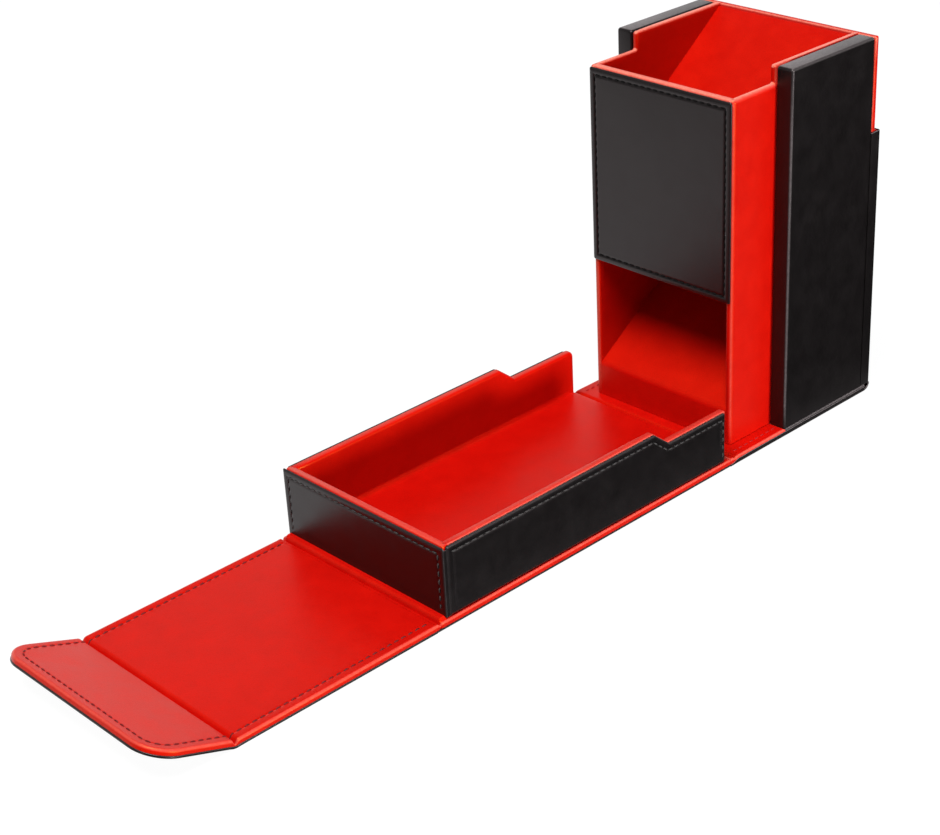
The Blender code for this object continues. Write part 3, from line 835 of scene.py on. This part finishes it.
def tray_base():
    """The strip below the tray, with the ridge and the crease where the cover starts."""
    front = COVER_FOLD[1] - HALF_GAP - 0.1 * MM
    outline = rectangle(-CASE_HALF, front - RUN_ON, CASE_HALF, TRAY_BASE[1].y)
    mesh = slab_mesh(outline, "Z", LINING_FOOT, 1, rounded(LINING_THICK, SHARP, 0.9 * MM, 5, worn=0.45))
    cut_end(mesh, front, -1)
    further = [COVER_FOLD[1] + 3.1 * MM + 0.25 * MM * k for k in range(7)]
    cut_across(mesh, fold_cuts(COVER_FOLD, 18) + further)
    ends = [side * (CASE_HALF - 0.9 * MM - 0.2 * MM * k) for side in (-1, 1) for k in range(7)]
    cut_across(mesh, ends, 0)

    def ridge(vertex):
        """A soft roll at the foot of the tray's front wall, then a crease, then up to the cover."""
        height = max(vertex.z - LINING_FOOT, 0.0) / LINING_THICK
        along = vertex.y - COVER_FOLD[1]
        crease = 1.25 * MM * hump(along, -0.55 * MM, 0.55 * MM)
        rise = clamp((along + 0.5 * MM) / (2.1 * MM))
        under = 1 - clamp((along - 3.2 * MM) / (1.2 * MM))
        roll = 1.25 * MM * sin(rise * pi / 2) * under
        end = clamp((CASE_HALF - abs(vertex.x) - MM) / (0.9 * MM))
        side = 1 - 0.010 * hump(along, -0.55 * MM, 0.6 * MM)
        return Vector((vertex.x * side, vertex.y, vertex.z + (roll * end - crease) * height))

    move(mesh, ridge)
    add_red("tray_base_sheet", mesh, "tray",
            ["tray_base_lining", "cover_hinge_lining"], bend("cover", COVER_FOLD))
    mesh = slab_mesh(outline, "Z", 0.0, 1, rounded(SKIN, 0.35 * MM, 0.25 * MM, 3, worn=0.15))
    cut_end(mesh, front, -1)
    cut_across(mesh, fold_cuts(COVER_FOLD))
    add_black("tray_base_skin_sheet", mesh, "tray",
              ["tray_base_skin", "cover_hinge_skin"], bend("cover", COVER_FOLD))


def base_lining():
    """Lining below the tower's front part, which bends into the tray."""
    outline = rectangle(-CASE_HALF, BASE_FRONT, CASE_HALF, BASE_CHANGE)
    profile = rounded(LINING_THICK, SHARP, MM, 5, worn=0.54)
    mesh = slab_mesh(outline, "Z", LINING_FOOT, 1, profile, step=6 * MM)
    cut_across(mesh, [side * (MARGIN_FROM + k) * MM for side in (-1, 1) for k in range(6)], 0)
    cut_across(mesh, fold_cuts(TRAY_FOLD, 14))
    cut_across(mesh, [TOWER_FRONT - 0.3 * MM * k for k in range(-1, 10)])

    def crease(vertex):
        """A fold behind the tray's floor, and a low roll at the foot of the sill."""
        height = max(vertex.z - LINING_FOOT, 0.0) / LINING_THICK
        fall = 1.4 * MM * hump(vertex.y - TRAY_FOLD[1], 0.9 * MM, 0.85 * MM)
        fall *= 1 - 0.55 * clamp((abs(vertex.x) - MARGIN_FROM * MM) / (5 * MM))
        roll = 0.4 * MM * hump(vertex.y - TOWER_FRONT, -0.9 * MM, 0.9 * MM)
        if abs(vertex.x) > SILL[1].x:
            roll = 0.0
        return Vector((vertex.x, vertex.y, vertex.z + (roll - fall) * height))

    move(mesh, crease)
    add_red("base_lining_sheet", mesh, "tower",
            ["base_lining", "tray_hinge_lining"], bend("tray", TRAY_FOLD))


def base_edges():
    """Black leatherette round the long edges below the tower, and on top further back."""
    edge = rectangle(-CASE_HALF - BORDER, BASE_FRONT - RUN_ON, CASE_HALF + BORDER, BASE[1].y)
    mesh = slab_mesh(edge, "Z", HAIR, 1, rounded(EDGE_TURN, 0.35 * MM, 0.35 * MM, 3))
    cut_end(mesh, BASE_FRONT + 0.02 * MM, -1)
    cut_across(mesh, fold_cuts(TRAY_FOLD, 5, 1.0))

    def tapered(vertex):
        """The black edge rises from the hinge to its full height."""
        share = clamp((vertex.y - BASE_FRONT) / (2.4 * HALF_GAP))
        low = SKIN / EDGE_TURN
        size = low + (1 - low) * share * share * (3 - 2 * share)
        return Vector((vertex.x, vertex.y, vertex.z * size))

    move(mesh, tapered)
    add_black("base_edge_wrap", mesh, "tower", (), bend("tray", TRAY_FOLD))
    outline = rectangle(-CASE_HALF, BASE_CHANGE + 0.05 * MM, CASE_HALF, BASE[1].y)
    mesh = slab_mesh(outline, "Z", LINING_FOOT, 1, rounded(LINING_THICK, SHARP, 0.9 * MM, 4))
    add_black("base_rear_wrap", mesh, "tower", ["base_lining"])


def base_skin():
    """Black sheet below the tower, from the tray's hinge to the rounded rear corner."""
    rear = BACK_SKIN[1].y
    radius = BACK_CORNER[1].z
    bend_start = rear - radius
    arc = pi / 2 * radius
    outline = rectangle(-CASE_HALF, BASE_FRONT, CASE_HALF, bend_start + arc)

    def wrapped(vertex):
        """The rear end goes up round the corner."""
        along = vertex.y - bend_start
        if along <= 0:
            return vertex.copy()
        if along < arc:
            angle = along / radius
            arm = radius - vertex.z
            return Vector((vertex.x, bend_start + arm * sin(angle), radius - arm * cos(angle)))
        return Vector((vertex.x, rear - vertex.z, radius + along - arc))

    mesh = slab_mesh(outline, "Z", 0.0, 1, rounded(SKIN, 0.35 * MM, 0.25 * MM, 3))
    cut_across(mesh, fold_cuts(TRAY_FOLD) + [bend_start + arc * k / 8 for k in range(9)])
    move(mesh, wrapped)
    add_black("base_skin_sheet", mesh, "tower",
              ["base_skin", "tray_hinge_skin", "back_corner_skin"], bend("tray", TRAY_FOLD))


def back_panel():
    """Back panel's lining, and its skin, which turns forward over the back wall's edges."""
    low, high = BACK_PANEL
    outline = rectangle(low.x, low.z, high.x, high.z, 0.8 * MM)
    mesh = slab_mesh(outline, "Y", low.y, 1, rounded(high.y - low.y, 0.8 * MM, SHARP, 3))
    add_red("back_panel_cover", mesh, "tower", ["back_panel_lining"])
    low, high = BACK_SKIN
    inner = high.x - SKIN
    front = low.y - 0.1 * MM
    outline = [
        (low.x, front, 0), (-inner, front, 0), (-inner, high.y - SKIN, 0),
        (inner, high.y - SKIN, 0), (inner, front, 0), (high.x, front, 0),
        (high.x, high.y, 1.3 * MM), (low.x, high.y, 1.3 * MM),
    ]
    profile = rounded(high.z - low.z + GLUE, 0.25 * MM, 0.3 * MM, 3, 0.04 * MM)
    mesh = slab_mesh(outline, "Z", low.z - GLUE, 1, profile)
    add_black("back_panel_wrap", mesh, "tower", ["back_panel_skin"])


# Tray
def tray_side_outline(front, foot, corner, top_drop=0.0, rear=0.0):
    """Side view of a tray wall with its notch and rounded rear corner."""
    top = TRAY_RIGHT[1].z - top_drop
    end = TOWER_FRONT - TRAY_REAR_GAP - rear
    return [
        (front, foot, 0),
        (end, foot, 0.6 * MM),
        (end, LOW_RIM - top_drop, corner),
        (TOWER_FRONT - NOTCH_LOW, LOW_RIM - top_drop, NOTCH_RADIUS),
        (TOWER_FRONT - NOTCH_HIGH, top, NOTCH_RADIUS),
        (front, top, 0),
    ]


def tray_linings():
    """Linings round the tray's side walls and front wall."""
    for name, box, sign in (("tray_left", TRAY_LEFT, 1), ("tray_right", TRAY_RIGHT, -1)):
        low, high = box
        base = (low if sign > 0 else high).x
        outline = tray_side_outline(low.y - TRAY_BITE, low.z, TRAY_CORNERS[name])
        profile = rounded(high.x - low.x, MM, TRAY_RIM, 6)
        mesh = slab_mesh(outline, "X", base, sign, profile, step=8 * MM)

        def outer_rim_highlight(place, normal):
            """A little painted highlight on the crown, and more where it turns to the black skin."""
            outward = -sign * normal.x
            line = bell(outward, normal.z, 52, 16) if normal.z > 0.1 else 0.0
            end = bell(outward, normal.y, 50, 20) if normal.y > 0.3 else 0.0
            return 0.2 * max(0.0, (normal.z - 0.8) / 0.2) + 0.68 * max(line, 0.7 * end)

        rub(mesh, outer_rim_highlight)
        add_red(name + "_cover", mesh, "tray", [name + "_lining"])
    low, high = TRAY_FRONT
    outline = rectangle(low.y, low.z, high.y, high.z, 0, 0, TRAY_RIM, MM)
    mesh = slab_mesh(outline, "X", low.x, 1, rounded(high.x - low.x, 0.6 * MM, 0.6 * MM, 2))
    # Painted highlight on the crown, leaning towards the front.
    rub(mesh, lambda place, normal: max(0.0, (normal.z * 0.97 - normal.y * 0.24 - 0.8) / 0.2) * 0.36)
    add_red("tray_front_cover", mesh, "tray", ["tray_front_lining"])


def tray_skin_profile(thick, reach, worn):
    """Section of a stitched skin on a tray wall."""
    return pillow(thick, 0.25 * MM, reach, worn) + seam(TRAY_SEAM, thick, 0.28 * MM, 0.8 * MM, 0.05 * MM)


def fade_above(foot, start, length):
    """Furrows are drawn in only above the foot of a skin."""
    return lambda point: clamp((point.y - foot - start) / length)


def tray_skins():
    """Stitched skins of the tray's walls, and the strips that turn round its front corners."""
    for name, box, sign in (("tray_left", TRAY_LEFT_SKIN, -1), ("tray_right", TRAY_RIGHT_SKIN, 1)):
        low, high = box
        base = (low if sign > 0 else high).x
        foot = low.z - SKIN_FOOT
        front = low.y + 1.3 * MM
        outline = tray_side_outline(front, foot, TRAY_CORNERS[name] - 0.4 * MM, SKIN_DROP, SKIN_SHORT)
        outline[0] = (front, low.z, 0.5 * MM)
        outline[5] = (*outline[5][:2], 0.8 * MM)
        profile = tray_skin_profile(high.x - low.x, 1.2 * MM, 0.24)
        fade = fade_above(low.z, 5 * MM, 4 * MM)
        mesh = slab_mesh(outline, "X", base, sign, profile, step=5 * MM, fade=fade)
        add_black(name + "_skin_cover", mesh, "tray", [name + "_skin"])
        strip = rectangle(low.y - 0.2 * MM, foot, low.y + 2.5 * MM, high.z - MM)
        mesh = slab_mesh(strip, "X", base, sign, rounded(0.3 * MM, 0.05 * MM, 0.1 * MM, 2, 0.1 * MM))
        add_black(name + "_corner_return", mesh, "tray")
    low, high = TRAY_FRONT_SKIN
    profile = tray_skin_profile(high.y - low.y, 1.3 * MM, 0.18)
    outline = rectangle(low.x, low.z - SKIN_FOOT, high.x, high.z + 0.6 * MM - SKIN_DROP, 0.5 * MM)
    fade = fade_above(low.z, 4 * MM, 3 * MM)
    mesh = slab_mesh(outline, "Y", high.y, -1, profile, step=3 * MM, fade=fade)
    add_black("tray_front_skin_cover", mesh, "tray", ["tray_front_skin"])


def tray_floor():
    """Floor lining that runs up into the walls in fillets."""
    low, high = TRAY_FLOOR
    thick = high.z - low.z
    profile = [(0.0, 0.0, 0, 0), (0.0, FLOOR_FILLET + thick, 0, 0)]
    for turn in quarter(5)[1:]:
        profile.append((FLOOR_FILLET * (1 - cos(turn)), thick + FLOOR_FILLET * (1 - sin(turn)), 0, 0))
    profile.append((FLOOR_FILLET + MM, thick, 0, 0))
    bite = 0.25 * MM
    outline = rectangle(low.x - bite, low.y - bite, high.x + bite, high.y + FLOOR_FILLET + 0.5 * MM)
    mesh = slab_mesh(outline, "Z", low.z, 1, profile)
    rear = high.y - 0.3 * MM
    cut_end(mesh, rear, 1)
    cut_across(mesh, [rear - 0.3 * MM * k for k in range(1, 4)] + [rear - 4 * MM])

    def lowered(vertex):
        """The fillets run out, and the floor's rear edge is rounded down."""
        left = rear - vertex.y
        share = clamp((left - MM) / (3 * MM))
        top = high.z + (vertex.z - high.z) * share if vertex.z > high.z else vertex.z
        if left < 0.8 * MM and vertex.z > low.z + 0.1 * MM:
            top -= 0.45 * MM * (1 - left / (0.8 * MM)) ** 2
        return Vector((vertex.x, vertex.y, top))

    move(mesh, lowered)
    add_red("tray_floor_cover", mesh, "tray", ["tray_floor_lining"])


# Stitches
def stitch_ends(points):
    """Pairs of points: both ends of each stitch on a path."""
    points = [Vector(point) for point in points]
    lengths = [0.0]
    for first, second in zip(points, points[1:]):
        lengths.append(lengths[-1] + (second - first).length)
    total = lengths[-1]
    count = max(1, round(total / PITCH))
    step = total / count
    gap = (step - STITCH) / 2

    def place(distance):
        distance = clamp(distance, 0.0, total)
        index = next(k for k in range(len(points) - 1) if distance <= lengths[k + 1])
        run = lengths[index + 1] - lengths[index]
        return points[index].lerp(points[index + 1], (distance - lengths[index]) / run)

    return [(place(k * step + gap), place(k * step + gap + STITCH)) for k in range(count)]


def add_stitches(mesh, path, normal, radius=THREAD):
    """Short threads along a path that come up, run along the surface and go down again."""
    normal = Vector(normal)
    for start, end in stitch_ends(path):
        across = (end - start).cross(normal).normalized()
        rings = []
        for share, size, rise in STITCH_SECTIONS:
            centre = start.lerp(end, share) + normal * (rise * radius)
            row = []
            for k in range(STITCH_SIDES):
                angle = pi / 3 * k
                side = across * (radius * size * cos(angle))
                row.append(mesh.verts.new(centre + side + normal * (radius * size * 0.8 * sin(angle))))
            rings.append(row)
        close(mesh, rings)


def sew(mesh, path, normal, radius=THREAD):
    """A seam round sharp corners, with whole stitches on each of its straight runs."""
    for first, second in zip(path, path[1:]):
        add_stitches(mesh, [first, second], normal, radius)


def lip_path(level):
    """Seam round the cover and the lip, on the lying case."""
    x = CASE_HALF - SEAM_INSET
    far = LIP_FOLD[1] - LIP_LENGTH + SEAM_INSET
    radius = LIP_CORNER - SEAM_INSET
    near = COVER[1].y - MM
    points = [(-x, near, level), (-x, far + radius, level)]
    for turn in quarter(8)[1:]:
        points.append((-x + radius * (1 - cos(turn)), far + radius * (1 - sin(turn)), level))
    return points + [(-a, b, c) for a, b, c in reversed(points)]


def cover_stitches():
    """The seam of the cover and the lip, seen on the lining and faintly on the skin."""
    mesh = bmesh.new()
    add_stitches(mesh, lip_path(CASE_TOP - 0.16 * MM), (0, 0, 1))

    def settled(vertex):
        return turned(Vector((vertex.x, vertex.y, vertex.z - lip_groove(vertex))))

    move(mesh, settled)
    over = bend("lip", LIP_FOLD)
    add(RED_THREAD, "red_leatherette", "cover_stitches", mesh, "cover", (), over)
    mesh = bmesh.new()
    add_stitches(mesh, lip_path(0.12 * MM), (0, 0, -1), THREAD * 0.6)
    move(mesh, turned)
    add(BLACK_THREAD, "black_leatherette", "cover_outer_stitches", mesh, "cover", (), over)


def base_stitches():
    """Short seams along the base's edges, in front of the side panels."""
    mesh = bmesh.new()
    level = CASE_TOP - 0.05 * MM
    for side in (-1, 1):
        x = side * (CASE_HALF - SEAM_INSET)
        path = [(x, TRAY_FOLD[1] + HALF_GAP + MM, level), (x, RIGHT_PANEL[0].y - MM, level)]
        sew(mesh, path, (0, 0, 1))
    add(FAINT_THREAD, "red_leatherette", "base_stitches", mesh, "tower")


def tower_stitches():
    """Seams of the front panel and the back panel."""
    mesh = bmesh.new()
    low, high = FRONT_SKIN
    edge = FRONT_SEAM
    level = low.y + 0.30 * MM
    left, right = low.x + PANEL_SLIM + edge, high.x - PANEL_SLIM - edge
    foot, top = low.z + edge, high.z + PANEL_RISE - edge
    around = ((left, foot), (right, foot), (right, top), (left, top), (left, foot))
    sew(mesh, [(x, level, z) for x, z in around], (0, -1, 0))
    low, high = BACK_SKIN
    edge = SEAM_INSET
    level = high.y - 0.1 * MM
    left, right = low.x + edge, high.x - edge
    foot, top = low.z + 2 * MM, high.z - edge
    path = [(left, level, foot), (left, level, top), (right, level, top), (right, level, foot)]
    sew(mesh, path, (0, 1, 0), THREAD * 0.7)
    add(BLACK_THREAD, "black_leatherette", "tower_stitches", mesh, "tower")


def tray_stitches():
    """Seams of the tray's side walls, which follow the notch, and of its front wall."""
    mesh = bmesh.new()
    edge = TRAY_SEAM
    sink = 0.12 * MM
    top = TRAY_RIGHT_SKIN[1].z + 0.25 * MM - edge
    low_top = top - (TRAY_RIGHT[1].z - LOW_RIM)
    rear = TOWER_FRONT - TRAY_REAR_GAP - SKIN_SHORT - TRAY_REAR_SEAM
    lean = MM
    for box, sign in ((TRAY_LEFT_SKIN, -1), (TRAY_RIGHT_SKIN, 1)):
        x = (box[0].x if sign < 0 else box[1].x) - sign * sink
        path = [
            (x, rear, box[0].z + 1.5 * MM), (x, rear, low_top),
            (x, TOWER_FRONT - NOTCH_LOW - lean, low_top), (x, TOWER_FRONT - NOTCH_HIGH - lean, top),
            (x, box[0].y + 3 * MM, top),
        ]
        sew(mesh, path, (sign, 0, 0))
    low, high = TRAY_FRONT_SKIN
    y = low.y + sink
    left, right, foot = low.x + edge, high.x - edge, low.z + 2 * MM
    sew(mesh, [(left, y, foot), (left, y, top), (right, y, top), (right, y, foot)], (0, -1, 0))
    # The tray's stitches use the lighter thread, a painted highlight.
    add(LIT_BLACK_THREAD, "black_leatherette", "tray_stitches", mesh, "tray")


# Studio
def add_camera():
    """Camera at the photograph's viewing angle."""
    camera = bpy.data.cameras.new("camera")
    camera.sensor_width = SENSOR
    camera.lens = LENS
    camera.clip_start = CLIP_START
    holder = placed("camera", camera)
    right, down, ahead = Vector(CAMERA_RIGHT), Vector(CAMERA_DOWN), Vector(CAMERA_AHEAD)
    turn = Matrix((right, -down, -ahead)).transposed().to_4x4()
    holder.matrix_world = Matrix.Translation(Vector(CAMERA_PLACE)) @ turn
    bpy.context.scene.camera = holder


def surroundings():
    """White behind the object, a bright sweep low down and a darker room above for reflections."""
    world = bpy.data.worlds.new("studio")
    bpy.context.scene.world = world
    n = Nodes(world)
    back = n.tree.nodes["Background"]
    back.inputs["Color"].default_value = (1, 1, 1, 1)
    path = n.put("ShaderNodeLightPath").outputs
    split = n.put("ShaderNodeSeparateXYZ", Vector=n.place("Generated")).outputs
    sweep = n.ease(split["Z"], 0.28, 0.50, 1.0, 0.32)
    sweep = n.maths("MULTIPLY", sweep, n.ease(split["Z"], 0.52, 0.80, 1.0, 0.12))
    sweep = n.maths("MULTIPLY", sweep, n.ease(split["Y"], -0.70, -0.30, 0.28, 1.0))
    mirrored = n.maths("MULTIPLY", path["Is Glossy Ray"], n.maths("SUBTRACT", sweep, AMBIENT))
    plain = n.maths("MULTIPLY", n.seen(path), 1.0 - AMBIENT)
    n.feed(back.inputs["Strength"], n.maths("ADD", n.maths("ADD", mirrored, plain), AMBIENT))


def add_floor():
    """White floor that keeps a soft shadow; right of the object it mirrors dark, as beside a flag."""
    data = bpy.data.meshes.new("floor")
    corners = [(a * FLOOR_REACH, b * FLOOR_REACH, 0) for a, b in ((-1, -1), (1, -1), (1, 1), (-1, 1))]
    data.from_pydata(corners, (), [(0, 1, 2, 3)])
    floor = placed("floor", data)
    floor.location.z = FLOOR_LEVEL
    n = Nodes(bpy.data.materials.new("floor"))
    n.tree.nodes.remove(n.shader)
    diffuse = n.put("ShaderNodeBsdfDiffuse", Color=(0.50, 0.50, 0.50, 1))
    path = n.put("ShaderNodeLightPath").outputs
    position = n.put("ShaderNodeNewGeometry").outputs["Position"]
    split = n.put("ShaderNodeSeparateXYZ", Vector=position).outputs
    right = n.ease(split["X"], -0.02, 0.07, 0.0, FLAG_DARKEST)
    behind = n.ease(split["Y"], 0.16, 0.21, 0.0, -0.96)
    before = n.ease(split["Y"], -0.55, -0.28, -0.9, 0.0)
    flag = n.maths("ADD", n.maths("MINIMUM", right, behind), before)
    flag = n.maths("MAXIMUM", FLAG_DARKEST, flag)
    mirrored = n.maths("MULTIPLY", path["Is Glossy Ray"], flag)
    bright = n.maths("MULTIPLY", path["Is Camera Ray"], 0.10)
    strength = n.maths("ADD", n.maths("ADD", mirrored, 1.0), bright)
    glow = n.put("ShaderNodeEmission", Strength=strength)
    share = n.maths("MAXIMUM", n.maths("MULTIPLY", n.seen(path), 0.88), path["Is Glossy Ray"])
    blend = n.put("ShaderNodeMixShader", Fac=share)
    n.feed(blend.inputs[1], diffuse.outputs[0])
    n.feed(blend.inputs[2], glow.outputs[0])
    n.feed(n.tree.nodes["Material Output"].inputs["Surface"], blend.outputs[0])
    data.materials.append(n.owner)


def add_lamps():
    """Round soft lamps, each aimed at its target."""
    for name, place, target, size, power in LAMPS:
        lamp = bpy.data.lights.new(name, "AREA")
        lamp.shape = "DISK"
        lamp.size = size
        lamp.energy = power
        item = placed(name, lamp)
        item.location = place
        item.rotation_euler = (Vector(target) - Vector(place)).to_track_quat("-Z", "Y").to_euler()


dress_solids()
side_walls()
back_wall()
front_wall()
sill_and_exit_ramp()
upper_ramps()
side_panels()
front_panel()
cover_and_lip()
tray_base()
base_lining()
base_edges()
base_skin()
back_panel()
tray_linings()
tray_skins()
tray_floor()
cover_stitches()
base_stitches()
tower_stitches()
tray_stitches()
add_camera()
surroundings()
add_floor()
add_lamps()
bpy.context.scene.view_settings.view_transform = "Standard"
